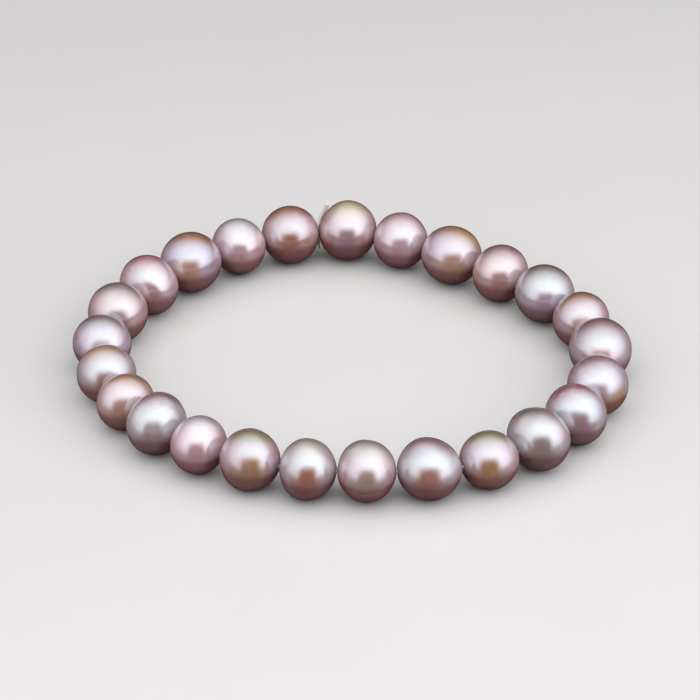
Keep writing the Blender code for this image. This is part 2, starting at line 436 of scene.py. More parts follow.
def turned_profile(tree, get):
    """A grid, and its points turned about Z as a drilled pearl: the skin, then the hole."""
    all_rings = calc(tree, "ADD", get["Rings"], float(HOLE_RINGS))
    wires = {
        "Size X": 1.0,
        "Size Y": 1.0,
        "Vertices X": calc(tree, "ADD", all_rings, 1.0),
        "Vertices Y": calc(tree, "ADD", get["Sides"], 1.0),
    }
    sheet = put(tree, "GeometryNodeMeshGrid", wires)
    spot = put(tree, "GeometryNodeInputPosition").outputs[0]
    parts = put(tree, "ShaderNodeSeparateXYZ", {0: spot})
    run = calc(tree, "ADD", parts.outputs["X"], 0.5)
    turn = calc(tree, "MULTIPLY", calc(tree, "ADD", parts.outputs["Y"], 0.5), math.tau)
    skin_share = calc(tree, "DIVIDE", get["Rings"], all_rings)
    hole_share = calc(tree, "SUBTRACT", 1.0, skin_share)
    on_skin = calc(tree, "MINIMUM", calc(tree, "DIVIDE", run, skin_share), 1.0)
    past_skin = calc(tree, "MAXIMUM", calc(tree, "SUBTRACT", run, skin_share), 0.0)
    in_hole = calc(tree, "DIVIDE", past_skin, hole_share)
    # Outer skin, from one mouth's rim to the other's
    rim = calc(tree, "ARCSINE", calc(tree, "DIVIDE", get["Mouth Width"], get["Width"]))
    swept = calc(tree, "MULTIPLY_ADD", rim, -2.0, math.pi)
    angle = calc(tree, "MULTIPLY_ADD", swept, on_skin, rim)
    half_width = half(tree, get["Width"])
    half_length = half(tree, get["Length"])
    skin_reach = calc(tree, "MULTIPLY", half_width, calc(tree, "SINE", angle))
    skin_level = calc(tree, "MULTIPLY", half_length, calc(tree, "COSINE", angle))
    # Hole, from one mouth down the bore to the other
    mouth_level = calc(tree, "MULTIPLY", half_length, calc(tree, "COSINE", rim))
    bore_level = calc(tree, "SUBTRACT", mouth_level, get["Mouth Depth"])
    side = calc(tree, "MULTIPLY_ADD", in_hole, 2.0, -1.0)
    deep = calc(tree, "MULTIPLY", calc(tree, "ABSOLUTE", side), 2.0)
    flare = calc(tree, "MAXIMUM", calc(tree, "SUBTRACT", deep, 1.0), 0.0)
    half_bore = half(tree, get["Bore Width"])
    half_mouth = half(tree, get["Mouth Width"])
    hole_reach = between(tree, flare, half_bore, half_mouth)
    straight = calc(tree, "MULTIPLY", calc(tree, "MINIMUM", deep, 1.0), bore_level)
    rise = calc(tree, "MULTIPLY_ADD", flare, get["Mouth Depth"], straight)
    hole_level = calc(tree, "MULTIPLY", rise, calc(tree, "SIGN", side))
    rounding = 1e-5
    hole = calc(tree, "GREATER_THAN", past_skin, rounding)
    reach = between(tree, hole, skin_reach, hole_reach)
    level = between(tree, hole, skin_level, hole_level)
    wires = {
        "X": calc(tree, "MULTIPLY", reach, calc(tree, "COSINE", turn)),
        "Y": calc(tree, "MULTIPLY", reach, calc(tree, "SINE", turn)),
        "Z": level,
    }
    turned = put(tree, "ShaderNodeCombineXYZ", wires)
    wires = {"Geometry": sheet.outputs["Mesh"], "Position": turned.outputs[0]}
    return put(tree, "GeometryNodeSetPosition", wires)


def grown_nacre(tree, get):
    """How far the nacre has grown out, as an offset of each point of a laid pearl."""
    spot = put(tree, "GeometryNodeInputPosition").outputs[0]
    away = vec(tree, "SUBTRACT", spot, get["Centre"])
    half_width = half(tree, get["Width"])
    place = scaled(tree, away, calc(tree, "DIVIDE", 1.0, half_width))
    outward = vec(tree, "NORMALIZE", away)
    lumps, _ = noise(tree, place, get["Lump Scale"], get["Seed"], 1.0)
    ripples, _ = noise(tree, place, get["Ripple Scale"], get["Seed"], 2.0)
    lump = calc(tree, "MULTIPLY", calc(tree, "SUBTRACT", lumps, 0.5), 2.0)
    ripple = calc(tree, "MULTIPLY", calc(tree, "SUBTRACT", ripples, 0.5), 2.0)
    grown = calc(tree, "MULTIPLY", lump, get["Lump Height"])
    grown = calc(tree, "MULTIPLY_ADD", ripple, get["Ripple Height"], grown)
    # Small pits in a few of the cells
    wires = {"Vector": place, "Scale": get["Pit Scale"], "W": get["Seed"]}
    cells = put(tree, "ShaderNodeTexVoronoi", wires, voronoi_dimensions="4D")
    lot = put(tree, "ShaderNodeSeparateXYZ", {0: cells.outputs["Color"]}).outputs["X"]
    few = calc(tree, "LESS_THAN", lot, get["Pit Share"])
    pit = ease(tree, cells.outputs["Distance"], get["Pit Reach"], 0.0)
    sunk = calc(tree, "MULTIPLY", get["Pit Depth"], -1.0)
    grown = calc(tree, "MULTIPLY_ADD", calc(tree, "MULTIPLY", pit, few), sunk, grown)
    for which in ("Swell A", "Swell B"):
        towards = vec(tree, "NORMALIZE", get[which + " Towards"])
        facing = vec(tree, "DOT_PRODUCT", outward, towards)
        swell = ease(tree, facing, get[which + " Edge"], 1.0)
        grown = calc(tree, "MULTIPLY_ADD", swell, get[which + " Height"], grown)
    # The healed growth line, which wanders with the ripples and fades at its ends
    crossing = vec(tree, "DOT_PRODUCT", place, vec(tree, "NORMALIZE", get["Crease Across"]))
    wave = calc(tree, "MULTIPLY_ADD", ripple, get["Crease Wander"], crossing)
    off_line = calc(tree, "ABSOLUTE", calc(tree, "SUBTRACT", wave, get["Crease Place"]))
    groove = ease(tree, off_line, get["Crease Width"], 0.0)
    near = vec(tree, "DOT_PRODUCT", outward, vec(tree, "NORMALIZE", get["Crease Side"]))
    ends = ease(tree, near, get["Crease End"], get["Crease Full"])
    sunk = calc(tree, "MULTIPLY", get["Crease Depth"], -1.0)
    grown = calc(tree, "MULTIPLY_ADD", calc(tree, "MULTIPLY", groove, ends), sunk, grown)
    # The mouths keep their size, and the pearl its height on the floor
    wires = {
        "X": calc(tree, "COSINE", get["Heading"]),
        "Y": calc(tree, "SINE", get["Heading"]),
    }
    drill = put(tree, "ShaderNodeCombineXYZ", wires).outputs[0]
    along = vec(tree, "DOT_PRODUCT", place, drill)
    off_drill = vec(tree, "LENGTH", vec(tree, "SUBTRACT", place, scaled(tree, drill, along)))
    lip = calc(tree, "DIVIDE", get["Mouth Width"], get["Width"])
    lip_end = calc(tree, "MULTIPLY", lip, get["Lip End"])
    skin = ease(tree, off_drill, lip_end, calc(tree, "MULTIPLY", lip, get["Lip Fade"]))
    height = put(tree, "ShaderNodeSeparateXYZ", {0: place}).outputs["Z"]
    off_floor = ease(tree, height, -1.0, get["Floor Fade"])
    grown = calc(tree, "MULTIPLY", grown, calc(tree, "MULTIPLY", skin, off_floor))
    return scaled(tree, outward, grown)


def pearl_tree():
    """A drilled pearl turned from its sizes, then swollen and dimpled as nacre grows."""
    inputs = (
        ("Width", "Float"),
        ("Length", "Float"),
        ("Bore Width", "Float"),
        ("Mouth Width", "Float"),
        ("Mouth Depth", "Float"),
        ("Rings", "Int", 72),
        ("Sides", "Int", 112),
        ("Centre", "Vector"),
        ("Heading", "Float"),
        ("Lip End", "Float", 1.02),
        ("Lip Fade", "Float", 1.9),
        ("Floor Fade", "Float", -0.8),
        ("Lump Height", "Float"),
        ("Lump Scale", "Float", 0.9),
        ("Ripple Height", "Float"),
        ("Ripple Scale", "Float", 3.6),
        ("Pit Depth", "Float"),
        ("Pit Share", "Float", 0.3),
        ("Pit Scale", "Float", 1.7),
        ("Pit Reach", "Float", 0.17),
        ("Swell A Towards", "Vector"),
        ("Swell A Height", "Float"),
        ("Swell A Edge", "Float"),
        ("Swell B Towards", "Vector"),
        ("Swell B Height", "Float"),
        ("Swell B Edge", "Float"),
        ("Crease Across", "Vector"),
        ("Crease Place", "Float"),
        ("Crease Depth", "Float"),
        ("Crease Width", "Float", 0.05),
        ("Crease Wander", "Float", 0.04),
        ("Crease Side", "Vector"),
        ("Crease End", "Float", 0.82),
        ("Crease Full", "Float", 0.96),
        ("Seed", "Float"),
        ("Material", "Material"),
    )
    tree, get, out = open_tree(
        "Drilled Pearl", "GeometryNodeTree", inputs, [("Geometry", "Geometry")]
    )
    shaped = turned_profile(tree, get)
    wires = {"Geometry": shaped.outputs[0], "Distance": SEAM_WELD}
    sewn = put(tree, "GeometryNodeMergeByDistance", wires)
    lying = put(tree, "ShaderNodeCombineXYZ", {"Y": math.pi / 2, "Z": get["Heading"]})
    wires = {
        "Geometry": sewn.outputs[0],
        "Translation": get["Centre"],
        "Rotation": lying.outputs[0],
    }
    laid = put(tree, "GeometryNodeTransform", wires)
    wires = {"Geometry": laid.outputs[0], "Offset": grown_nacre(tree, get)}
    nacre = put(tree, "GeometryNodeSetPosition", wires)
    smooth = put(tree, "GeometryNodeSetShadeSmooth", {"Geometry": nacre.outputs[0]})
    crisp = crisp_edges(tree, smooth.outputs[0], MOUTH_ANGLE)
    close_tree(tree, out, crisp, get["Material"])
    return tree


# Nacre


def nacre_tone_group():
    """Nacre's colour: crown, body and foot run into each other under drifting blush, with
    painted shade in the foot's front patch, towards the underside and in a band on the
    crown.
    """
    inputs = (
        ("Place", "Vector"),
        ("Body", "Color"),
        ("Crown", "Color"),
        ("Foot", "Color"),
        ("Blush", "Color"),
        ("Underside", "Color"),
        ("Upwards", "Vector"),
        ("Crown Edge", "Float", 0.62),
        ("Crown Softness", "Float", 0.28),
        ("Foot Towards", "Vector"),
        ("Foot Edge", "Float", 0.84),
        ("Foot Softness", "Float", 0.14),
        ("Drift Scale", "Float", 1.3),
        ("Drift", "Float", 0.55),
        ("Blush Scale", "Float", 1.9),
        ("Blush Share", "Float", 0.4),
        ("Cloud Scale", "Float", 4.5),
        ("Cloudiness", "Float", 0.25),
        ("Light Side", "Vector", SHADE_BAND_LIT_SIDE),
        ("Crown Shade", "Float"),
        ("Seed", "Float"),
    )
    tree, get, out = open_tree(
        "Nacre Tone", "ShaderNodeTree", inputs, [("Colour", "Color")]
    )
    place = get["Place"]
    _, drift = noise(tree, place, get["Drift Scale"], get["Seed"], 2.0)
    drift = vec(tree, "SUBTRACT", drift, (0.5, 0.5, 0.5))
    strayed = vec(tree, "ADD", place, scaled(tree, drift, get["Drift"]))
    up = vec(tree, "DOT_PRODUCT", strayed, vec(tree, "NORMALIZE", get["Upwards"]))
    crown = edge(tree, up, get["Crown Edge"], get["Crown Softness"])
    # Painted shade in front: the foot's deeper tone, except on pearl_08, whose foot is a
    # gold spot of its own
    fore = vec(tree, "DOT_PRODUCT", strayed, vec(tree, "NORMALIZE", get["Foot Towards"]))
    foot = edge(tree, fore, get["Foot Edge"], get["Foot Softness"])
    colour = tint(tree, crown, get["Body"], get["Crown"])
    colour = tint(tree, foot, colour, get["Foot"])
    blush_seed = calc(tree, "ADD", get["Seed"], BLUSH_SEED)
    patches, _ = noise(tree, place, get["Blush Scale"], blush_seed, 3.0)
    patches = ease(tree, patches, *BLUSH_PATCHES)
    patches = calc(tree, "MULTIPLY", patches, get["Blush Share"])
    colour = tint(tree, patches, colour, get["Blush"])
    cloud_seed = calc(tree, "ADD", get["Seed"], CLOUD_SEED)
    clouds, _ = noise(tree, place, get["Cloud Scale"], cloud_seed, 4.0)
    clouds = calc(tree, "SUBTRACT", clouds, 0.5)
    shade = calc(tree, "MULTIPLY_ADD", clouds, get["Cloudiness"], 1.0)
    colour = scaled(tree, colour, shade)
    level = put(tree, "ShaderNodeSeparateXYZ", {0: place}).outputs["Z"]
    # Painted shade: the colour darkens towards the underside, by height
    under = ease(tree, level, *PAINTED_UNDER_SHADE)
    deep = tint(tree, under, colour4(WHITE), get["Underside"])
    colour = vec(tree, "MULTIPLY", colour, deep)
    # Painted shade: a darker band round the crown's rim, behind its lit side
    lit = vec(tree, "DOT_PRODUCT", place, get["Light Side"])
    painted_shade_band = calc(tree, "MULTIPLY", ease(tree, lit, *SHADE_BAND_FRONT), ease(tree, lit, *SHADE_BAND_BACK))
    painted_shade_band = calc(tree, "MULTIPLY", painted_shade_band, ease(tree, level, *SHADE_BAND_HEIGHT))
    colour = scaled(tree, colour, between(tree, painted_shade_band, 1.0, get["Crown Shade"]))
    feed(tree, out.inputs["Colour"], colour)
    return tree


def nacre_skin_group():
    """Nacre's surface: fine growth terraces, faint ripples and dulled places."""
    inputs = (
        ("Place", "Vector"),
        ("Drill", "Vector"),
        ("Gloss", "Float"),
        ("Dulling", "Float", 0.05),
        ("Grain", "Float", 0.02),
        ("Metal", "Float"),
        ("Hole Roughness", "Float", 0.7),
        ("Broad Scale", "Float", 3.0),
        ("Broad Height", "Float", 1.2),
        ("Fine Scale", "Float", 14.0),
        ("Fine Height", "Float", 0.06),
        ("Terraces", "Float", 26.0),
        ("Terrace Wander", "Float", 9.0),
        ("Terrace Height", "Float", 0.04),
        ("Seed", "Float"),
    )
    outputs = (
        ("Height", "Float"),
        ("Roughness", "Float"),
        ("Metal", "Float"),
        ("Hole", "Float"),
    )
    tree, get, out = open_tree("Nacre Skin", "ShaderNodeTree", inputs, outputs)
    place = get["Place"]
    along = vec(tree, "DOT_PRODUCT", place, get["Drill"])
    off = vec(tree, "SUBTRACT", place, scaled(tree, get["Drill"], along))
    off = vec(tree, "LENGTH", off)
    broad, _ = noise(tree, place, get["Broad Scale"], get["Seed"], 3.0)
    fine, _ = noise(tree, place, get["Fine Scale"], get["Seed"], 2.0)
    steps = calc(tree, "MULTIPLY", along, get["Terraces"])
    sweep = calc(tree, "MULTIPLY_ADD", broad, get["Terrace Wander"], steps)
    terraces = calc(tree, "MULTIPLY", calc(tree, "SINE", sweep), get["Terrace Height"])
    height = calc(tree, "MULTIPLY_ADD", broad, get["Broad Height"], terraces)
    height = calc(tree, "MULTIPLY_ADD", fine, get["Fine Height"], height)
    feed(tree, out.inputs["Height"], height)
    dull = ease(tree, broad, *DULL_PLACES)
    rough = calc(tree, "MULTIPLY_ADD", dull, get["Dulling"], get["Gloss"])
    grain = calc(tree, "MULTIPLY", calc(tree, "SUBTRACT", fine, 0.5), get["Grain"])
    hole = ease(tree, off, *BORE_EDGE)
    rough = calc(tree, "ADD", rough, grain)
    rough = between(tree, hole, rough, get["Hole Roughness"])
    feed(tree, out.inputs["Roughness"], rough)
    metal = between(tree, hole, get["Metal"], 0.0)
    feed(tree, out.inputs["Metal"], metal)
    feed(tree, out.inputs["Hole"], hole)
    return tree


def nacre_material(name, pearl, look, seed, groups):
    """One pearl's nacre, centred on the pearl by a Mapping node."""
    centre, heading, width, _ = pearl
    crown, body, foot, upwards, blush, overtone = NACRE_OF[name]
    material = bpy.data.materials.new(name + "_nacre")
    material.use_nodes = True
    tree = material.node_tree
    shader = tree.nodes["Principled BSDF"]
    own = put(tree, "ShaderNodeTexCoord").outputs["Object"]
    radius = width / 2
    wires = {"Vector": own, "Location": centre, "Scale": (radius, radius, radius)}
    place = put(tree, "ShaderNodeMapping", wires, vector_type="TEXTURE").outputs[0]
    tone_group, skin_group = groups
    wires = {
        "Place": place,
        "Body": colour4(NACRE[body]),
        "Crown": colour4(NACRE[crown]),
        "Foot": colour4(NACRE[foot]),
        "Blush": colour4(NACRE[blush]),
        "Upwards": upwards,
        "Foot Towards": FOOT_TOWARDS.get(name, PAINTED_FOOT_SHADE_WAY),
        "Underside": colour4(look.painted_under_shade),
        "Crown Shade": look.painted_crown_shade,
        "Seed": seed,
    }
    tone = place_group(tree, tone_group, wires)
    wires = {
        "Place": place,
        "Drill": (math.cos(heading), math.sin(heading), 0.0),
        "Gloss": look.gloss,
        "Metal": look.metal,
        "Seed": seed,
    }
    skin = place_group(tree, skin_group, wires)
    hole = skin.outputs["Hole"]
    colour = tint(tree, hole, tone.outputs["Colour"], colour4(look.hole_colour))
    wires = {
        "Strength": look.relief,
        "Distance": TERRACE_DEPTH,
        "Height": skin.outputs["Height"],
    }
    bump = put(tree, "ShaderNodeBump", wires)
    finish = {
        "Base Color": colour,
        "Roughness": skin.outputs["Roughness"],
        "Metallic": skin.outputs["Metal"],
        "Normal": bump.outputs["Normal"],
        "IOR": look.index,
        "Specular Tint": colour4(OVERTONES[overtone]),
        "Coat Weight": look.coat,
        "Coat Roughness": look.coat_roughness,
        "Coat IOR": look.coat_index,
    }
    feed_all(tree, shader, finish)
    return material


# Thread


def kept_value(tree, geometry, name, value):
    """Geometry that carries a value of each point under a name."""
    wires = {"Geometry": geometry.outputs[0], "Name": name, "Value": value}
    settings = {"data_type": "FLOAT", "domain": "POINT"}
    return put(tree, "GeometryNodeStoreNamedAttribute", wires, **settings)


def strand_tree():
    """A fluted, twisted strand swept along the guide's splines at each point's width."""
    inputs = (
        ("Geometry", "Geometry"),
        ("Width", "Float"),
        ("Step", "Float", 0.12 * MM),
        ("Flutes", "Float", 9.0),
        ("Flute Depth", "Float", 0.07),
        ("Twist", "Float", 900.0),
        ("Sides", "Int", 36),
        ("Material", "Material"),
    )
    tree, get, out = open_tree(
        "Fluted Strand", "GeometryNodeTree", inputs, [("Geometry", "Geometry")]
    )
    wires = {"Curve": get["Geometry"]}
    route = put(tree, "GeometryNodeCurveSplineType", wires, spline_type="CATMULL_ROM")
    wires = {"Curve": route.outputs[0], "Length": get["Step"]}
    route = put(tree, "GeometryNodeResampleCurve", wires, mode="LENGTH")
    length = put(tree, "GeometryNodeSplineParameter").outputs["Length"]
    twist = calc(tree, "MULTIPLY", length, get["Twist"])
    wires = {"Curve": route.outputs[0], "Tilt": twist}
    route = put(tree, "GeometryNodeSetCurveTilt", wires)
    route = kept_value(tree, route, "along", length)
    half_width = half(tree, get["Width"])
    wires = {"Resolution": get["Sides"], "Radius": half_width}
    ring = put(tree, "GeometryNodeCurvePrimitiveCircle", wires, mode="RADIUS")
    around = put(tree, "GeometryNodeSplineParameter").outputs["Factor"]
    wave = calc(tree, "MULTIPLY", calc(tree, "MULTIPLY", around, math.tau), get["Flutes"])
    hollow = calc(tree, "MULTIPLY_ADD", calc(tree, "COSINE", wave), 0.5, -0.5)
    flute = calc(tree, "MULTIPLY_ADD", hollow, get["Flute Depth"], 1.0)
    spot = put(tree, "GeometryNodeInputPosition").outputs[0]
    ring = kept_value(tree, ring, "around", around)
    wires = {"Geometry": ring.outputs[0], "Position": scaled(tree, spot, flute)}
    ring = put(tree, "GeometryNodeSetPosition", wires)
    wires = {
        "Curve": route.outputs[0],
        "Profile Curve": ring.outputs[0],
        "Scale": put(tree, "GeometryNodeInputRadius").outputs[0],
        "Fill Caps": True,
    }
    swept = put(tree, "GeometryNodeCurveToMesh", wires)
    crisp = crisp_edges(tree, swept.outputs[0], CAP_ANGLE)
    close_tree(tree, out, crisp, get["Material"])
    return tree


def thread_material(look):
    """Soft elastic thread: fine lengthwise fibres under a faint gloss."""
    material = bpy.data.materials.new("elastic_thread_fine")
    material.use_nodes = True
    tree = material.node_tree
    shader = tree.nodes["Principled BSDF"]
    along = put(tree, "ShaderNodeAttribute", attribute_name="along").outputs["Fac"]
    around = put(tree, "ShaderNodeAttribute", attribute_name="around").outputs["Fac"]
    wires = {
        "X": calc(tree, "MULTIPLY", along, FIBRES_PER_METRE),
        "Y": calc(tree, "MULTIPLY", around, FIBRES_AROUND),
    }
    fibre_place = put(tree, "ShaderNodeCombineXYZ", wires).outputs[0]
    fibres, _ = noise(tree, fibre_place, 1.0, FIBRE_SEED, 3.0)
    light = colour4(look.thread_colour)
    shade = colour4(look.thread_shade)
    wires = {"Strength": 0.5, "Distance": FIBRE_DEPTH, "Height": fibres}
    bump = put(tree, "ShaderNodeBump", wires)
    finish = {
        "Base Color": tint(tree, ease(tree, fibres, *FIBRE_EDGES), shade, light),
        "Roughness": between(tree, fibres, *FIBRE_ROUGHNESS),
        "Normal": bump.outputs["Normal"],
        "Subsurface Weight": 0.3,
        "Subsurface Radius": (1.0, 0.85, 0.75),
        "Subsurface Scale": 0.3 * MM,
        "Sheen Weight": 0.15,
    }
    feed_all(tree, shader, finish)
    return material


def knot_coil(joint, before, after, radius, reach, turns):
    """The thread's turns round itself at the knot, from one bore into the other."""
    up = Vector((0.0, 0.0, 1.0))
    line = (after - before).normalized()
    side = line.cross(up)
    steps = int(turns * TURN_POINTS)
    points = []
    for k in range(steps + 1):
        share = k / steps
        angle = math.tau * turns * share
        swell = math.sin(math.pi * share)
        offset = (side * math.cos(angle) + up * math.sin(angle)) * radius * swell
        points.append(joint + line * reach * (2 * share - 1) + offset)
    return points


def closed_loop(joints, sizes):
    """The guide's places and widths round the string: the knot, then straight runs
    through the other joints."""
    knot = joints[0]
    before = (joints[-1] - knot).normalized()
    after = (joints[1] - knot).normalized()
    coil = knot_coil(
        knot, before, after, sizes.knot_radius, sizes.knot_reach, sizes.knot_turns
    )
    loop = [(point, sizes.knot_strand) for point in coil]
    for k in range(1, PEARL_COUNT):
        here = joints[k]
        back = (joints[k - 1] - here).normalized()
        ahead = (joints[(k + 1) % PEARL_COUNT] - here).normalized()
        places = (here + back * STRAIGHT_RUN, here, here + ahead * STRAIGHT_RUN)
        loop += [(place, STRETCHED) for place in places]
    return loop


def thread_guide(joints, sizes):
    """The closed thread through the pearls with its knot, and its two cut ends."""
    knot = joints[0]
    along = (joints[1] - joints[-1]).normalized()
    out = Vector((-along.y, along.x, 0.0)).normalized()
    if out.dot(knot) < 0:
        out.negate()
    up = Vector((0.0, 0.0, 1.0))
    splines = [(closed_loop(joints, sizes), True)]
    for rows in (LONG_END, SHORT_END):
        end = [
            (knot + (along * s + out * n + up * z) * MEAN_WIDTH, share)
            for s, n, z, share in rows
        ]
        splines.append((end, False))
    curve = bpy.data.curves.new("thread_guide", "CURVE")
    curve.dimensions = "3D"
    for points, closed in splines:
        spline = curve.splines.new("POLY")
        spline.points.add(len(points) - 1)
        spline.use_cyclic_u = closed
        for point, (place, share) in zip(spline.points, points):
            point.co = (*place, 1.0)
            point.radius = share
    return curve


# Sizes and colours that a user would change


def length_property(name, description, default):
    return bpy.props.FloatProperty(
        name=name, description=description, default=default, unit="LENGTH", precision=5
    )


def colour_property(name, description, default):
    return bpy.props.FloatVectorProperty(
        name=name, description=description, default=default, subtype="COLOR", min=0, max=1
    )


def share_property(name, description, default, high=1.0):
    return bpy.props.FloatProperty(
        name=name, description=description, default=default, min=0.0, max=high
    )


class BraceletPearlSettings(bpy.types.PropertyGroup):
    """Sizes and nacre of the pearls."""

    bore_width: length_property("Bore width", "Width of the drilled hole", 0.75 * MM)
    mouth_width: length_property("Mouth width", "Width of the hole at the skin", 0.85 * MM)
    mouth_depth: length_property("Mouth depth", "Depth of the worn mouth", 0.06 * MM)
    lump_height: length_property("Lump height", "How far a pearl is from round", 0.06 * MM)
    ripple_height: length_property("Ripple height", "Shallow waves in the skin", 0.01 * MM)
    pit_depth: length_property("Pit depth", "Depth of the small pits", 0.02 * MM)
    gloss: share_property("Roughness", "Roughness of the nacre", 0.2)
    metal: share_property("Metal", "Share of tinted reflection in the nacre", 0.05)
    relief: share_property("Relief", "Strength of the finest relief", 0.35)
    index: share_property("Index", "Refractive index of the nacre", 3.75, 4.0)
    coat: share_property("Top layer", "Weight of the clear top layer", 0.35)
    coat_roughness: share_property("Top roughness", "Roughness of the top layer", 0.12)
    coat_index: share_property("Top index", "Refractive index of the top layer", 1.5, 3.0)
    # Painted shade: the colour that the pearls' undersides are darkened to
    painted_under_shade: colour_property("Underside", "Shade towards the foot", (0.66, 0.40, 0.37))
    # Painted shade: how much tone the crown's painted band keeps
    painted_crown_shade: share_property("Painted crown shade", "Tone left in the crown's band", 0.48)
    hole_colour: colour_property("Hole", "Chalky layer in the bore", (0.62, 0.54, 0.47))


class BraceletThreadSettings(bpy.types.PropertyGroup):
    """Sizes and colours of the elastic thread."""

    width: length_property("Width", "Width of the thread", 0.5 * MM)
    knot_radius: length_property("Knot radius", "Radius of the knot's turns", 0.22 * MM)
    knot_reach: length_property("Knot reach", "Half the knot's length", 0.62 * MM)
    knot_turns: share_property("Knot turns", "Turns of the thread in the knot", 2.5, 6.0)
    knot_strand: share_property("Knot strand", "Width of a turn to the thread's", 0.8)
    thread_colour: colour_property("Colour", "Thread in the light", (0.90, 0.85, 0.80))
    thread_shade: colour_property("Shade", "Between the fibres", (0.72, 0.60, 0.54))


class BraceletStudioSettings(bpy.types.PropertyGroup):
    """The camera, the light tent and the floor."""

    camera_place: bpy.props.FloatVectorProperty(
        name="Camera",
        description="Where the camera stands",
        default=(0.0, -0.31903, 0.20645),
        subtype="TRANSLATION",
        unit="LENGTH",
    )
    camera_aim: bpy.props.FloatVectorProperty(
        name="Aim",
        description="The point that the camera looks at",
        default=(-0.0002, 0.00445, 0.0),
        subtype="TRANSLATION",
        unit="LENGTH",
    )
    camera_lens: bpy.props.FloatProperty(
        name="Lens", description="Focal length", default=153.5, unit="CAMERA"
    )
    tent_heart: bpy.props.FloatVectorProperty(
        name="Tent's heart",
        description="The way towards the tent's brightest place",
        default=(0.0, -0.683, 0.730),
        subtype="DIRECTION",
    )
    tent_glow: share_property("Tent glow", "Glow of the tent beside its heart", 0.276, 50.0)
    tent_swing: share_property("Tent swing", "How much it gains at its heart", 1.815, 50.0)
    tent_least: share_property("Tent least", "Glow of its darkest cloth", 0.16, 50.0)
    tent_sides: share_property("Tent sides", "How much it gains at each side", 0.4, 50.0)
    tent_lean: share_property("Tent lean", "How much more comes from the right", 0.22)
    wall_colour: colour_property("Walls", "Tint of the tent's walls", (1.0, 0.925, 0.99))
    room_brightness: share_property("Room brightness", "Light of the dim room", 0.06, 5.0)
    floor_colour: colour_property("Floor", "Colour of the floor", (0.60, 0.594, 0.588))
    floor_bounce: share_property("Floor bounce", "Share of its light on the pearls", 0.4)
    floor_mirror: share_property("Floor mirror", "Share of it that they mirror", 0.06)
    backdrop_colour: colour_property("Backdrop", "Beyond the floor", (0.60, 0.59, 0.58))


# Steps


def pearl_values(name, pearl, look):
    """The inputs of the pearl's tree, by name."""
    centre, heading, width, length = pearl
    values = {
        "Width": width,
        "Length": length,
        "Bore Width": look.bore_width,
        "Mouth Width": look.mouth_width,
        "Mouth Depth": look.mouth_depth,
        "Centre": centre,
        "Heading": heading,
        "Lump Height": look.lump_height,
        "Ripple Height": look.ripple_height,
        "Pit Depth": look.pit_depth,
    }
    for which, (towards, swell, spread) in zip("AB", SWELLINGS.get(name, ())):
        values[f"Swell {which} Towards"] = towards
        values[f"Swell {which} Height"] = swell * MM
        values[f"Swell {which} Edge"] = math.cos(math.radians(spread))
    if name in CREASES:
        across, place, depth, side = CREASES[name]
        values |= CREASED_MESH
        values["Crease Across"] = across
        values["Crease Place"] = place
        values["Crease Depth"] = depth * MM
        values["Crease Side"] = side
    return values


class BRACELET_OT_pearls(bpy.types.Operator):
    """Turn the drilled pearls and give each its nacre"""

    bl_idname = "bracelet.pearls"
    bl_label = "Pearls"

    def execute(self, context):
        look = context.scene.bracelet_pearls
        tree = pearl_tree()
        groups = (nacre_tone_group(), nacre_skin_group())
        pearls, _ = string_of_pearls()
        for k, (name, pearl) in enumerate(zip(PEARL_NAMES, pearls)):
            seed = FIRST_SEED + SEED_STEP * k
            material = nacre_material(name, pearl, look, seed, groups)
            values = pearl_values(name, pearl, look)
            values |= {"Seed": seed, "Material": material}
            obj = grow(name + "_fine", bpy.data.meshes.new(name), tree, values)
            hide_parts(name)
            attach(obj, "root")
        return {"FINISHED"}


class BRACELET_OT_thread(bpy.types.Operator):
    """Run the elastic thread through the pearls, with its knot and cut ends"""

    bl_idname = "bracelet.thread"
    bl_label = "Thread"

    def execute(self, context):
        sizes = context.scene.bracelet_thread
        _, joints = string_of_pearls()
        values = {"Width": sizes.width, "Material": thread_material(sizes)}
        guide = thread_guide(joints, sizes)
        obj = grow("thread_fine", guide, strand_tree(), values)
        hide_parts("thread")
        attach(obj, "root")
        return {"FINISHED"}


# Studio


def aim(obj, target):
    """Turns the camera to look at a point."""
    line = Vector(target) - obj.location
    obj.rotation_mode = "QUATERNION"
    obj.rotation_quaternion = line.to_track_quat("-Z", "Y")


def set_camera(studio):
    """The camera at the viewing angle, and plain colours."""
    scene = bpy.context.scene
    camera = bpy.data.cameras.new("camera")
    camera.lens = studio.camera_lens
    camera.sensor_width = 36.0
    camera.clip_start, camera.clip_end = 0.01, 20.0
    stand = bpy.data.objects.new("camera", camera)
    stand.location = studio.camera_place
    aim(stand, studio.camera_aim)
    scene.collection.objects.link(stand)
    scene.camera = stand
    scene.view_settings.view_transform = "Standard"


def cloth_glow(tree, gain, studio):
    """Glow of a tent's cloth, most towards the tent's heart and none in the opening."""
    spot = put(tree, "ShaderNodeNewGeometry").outputs["Position"]
    way = vec(tree, "NORMALIZE", spot)
    heart = Vector(studio.tent_heart).normalized()
    near_heart = vec(tree, "DOT_PRODUCT", way, heart)
    glow = calc(tree, "MULTIPLY_ADD", near_heart, studio.tent_swing, studio.tent_glow)
    ways = put(tree, "ShaderNodeSeparateXYZ", {0: way}).outputs
    sideways = calc(tree, "ABSOLUTE", ways["X"])
    glow = calc(tree, "MULTIPLY_ADD", sideways, studio.tent_sides, glow)
    glow = calc(tree, "SMOOTH_MAX", glow, studio.tent_least, TENT_BLEND)
    lean = calc(tree, "MULTIPLY_ADD", ways["X"], studio.tent_lean, gain)
    glow = calc(tree, "MULTIPLY", glow, lean)
    parts = (sideways, ways["Z"])
    powers = [calc(tree, "POWER", part, SQUARENESS) for part in parts]
    off_opening = calc(tree, "POWER", calc(tree, "ADD", *powers), 1 / SQUARENESS)
    return calc(tree, "MULTIPLY", glow, ease(tree, off_opening, *OPENING))


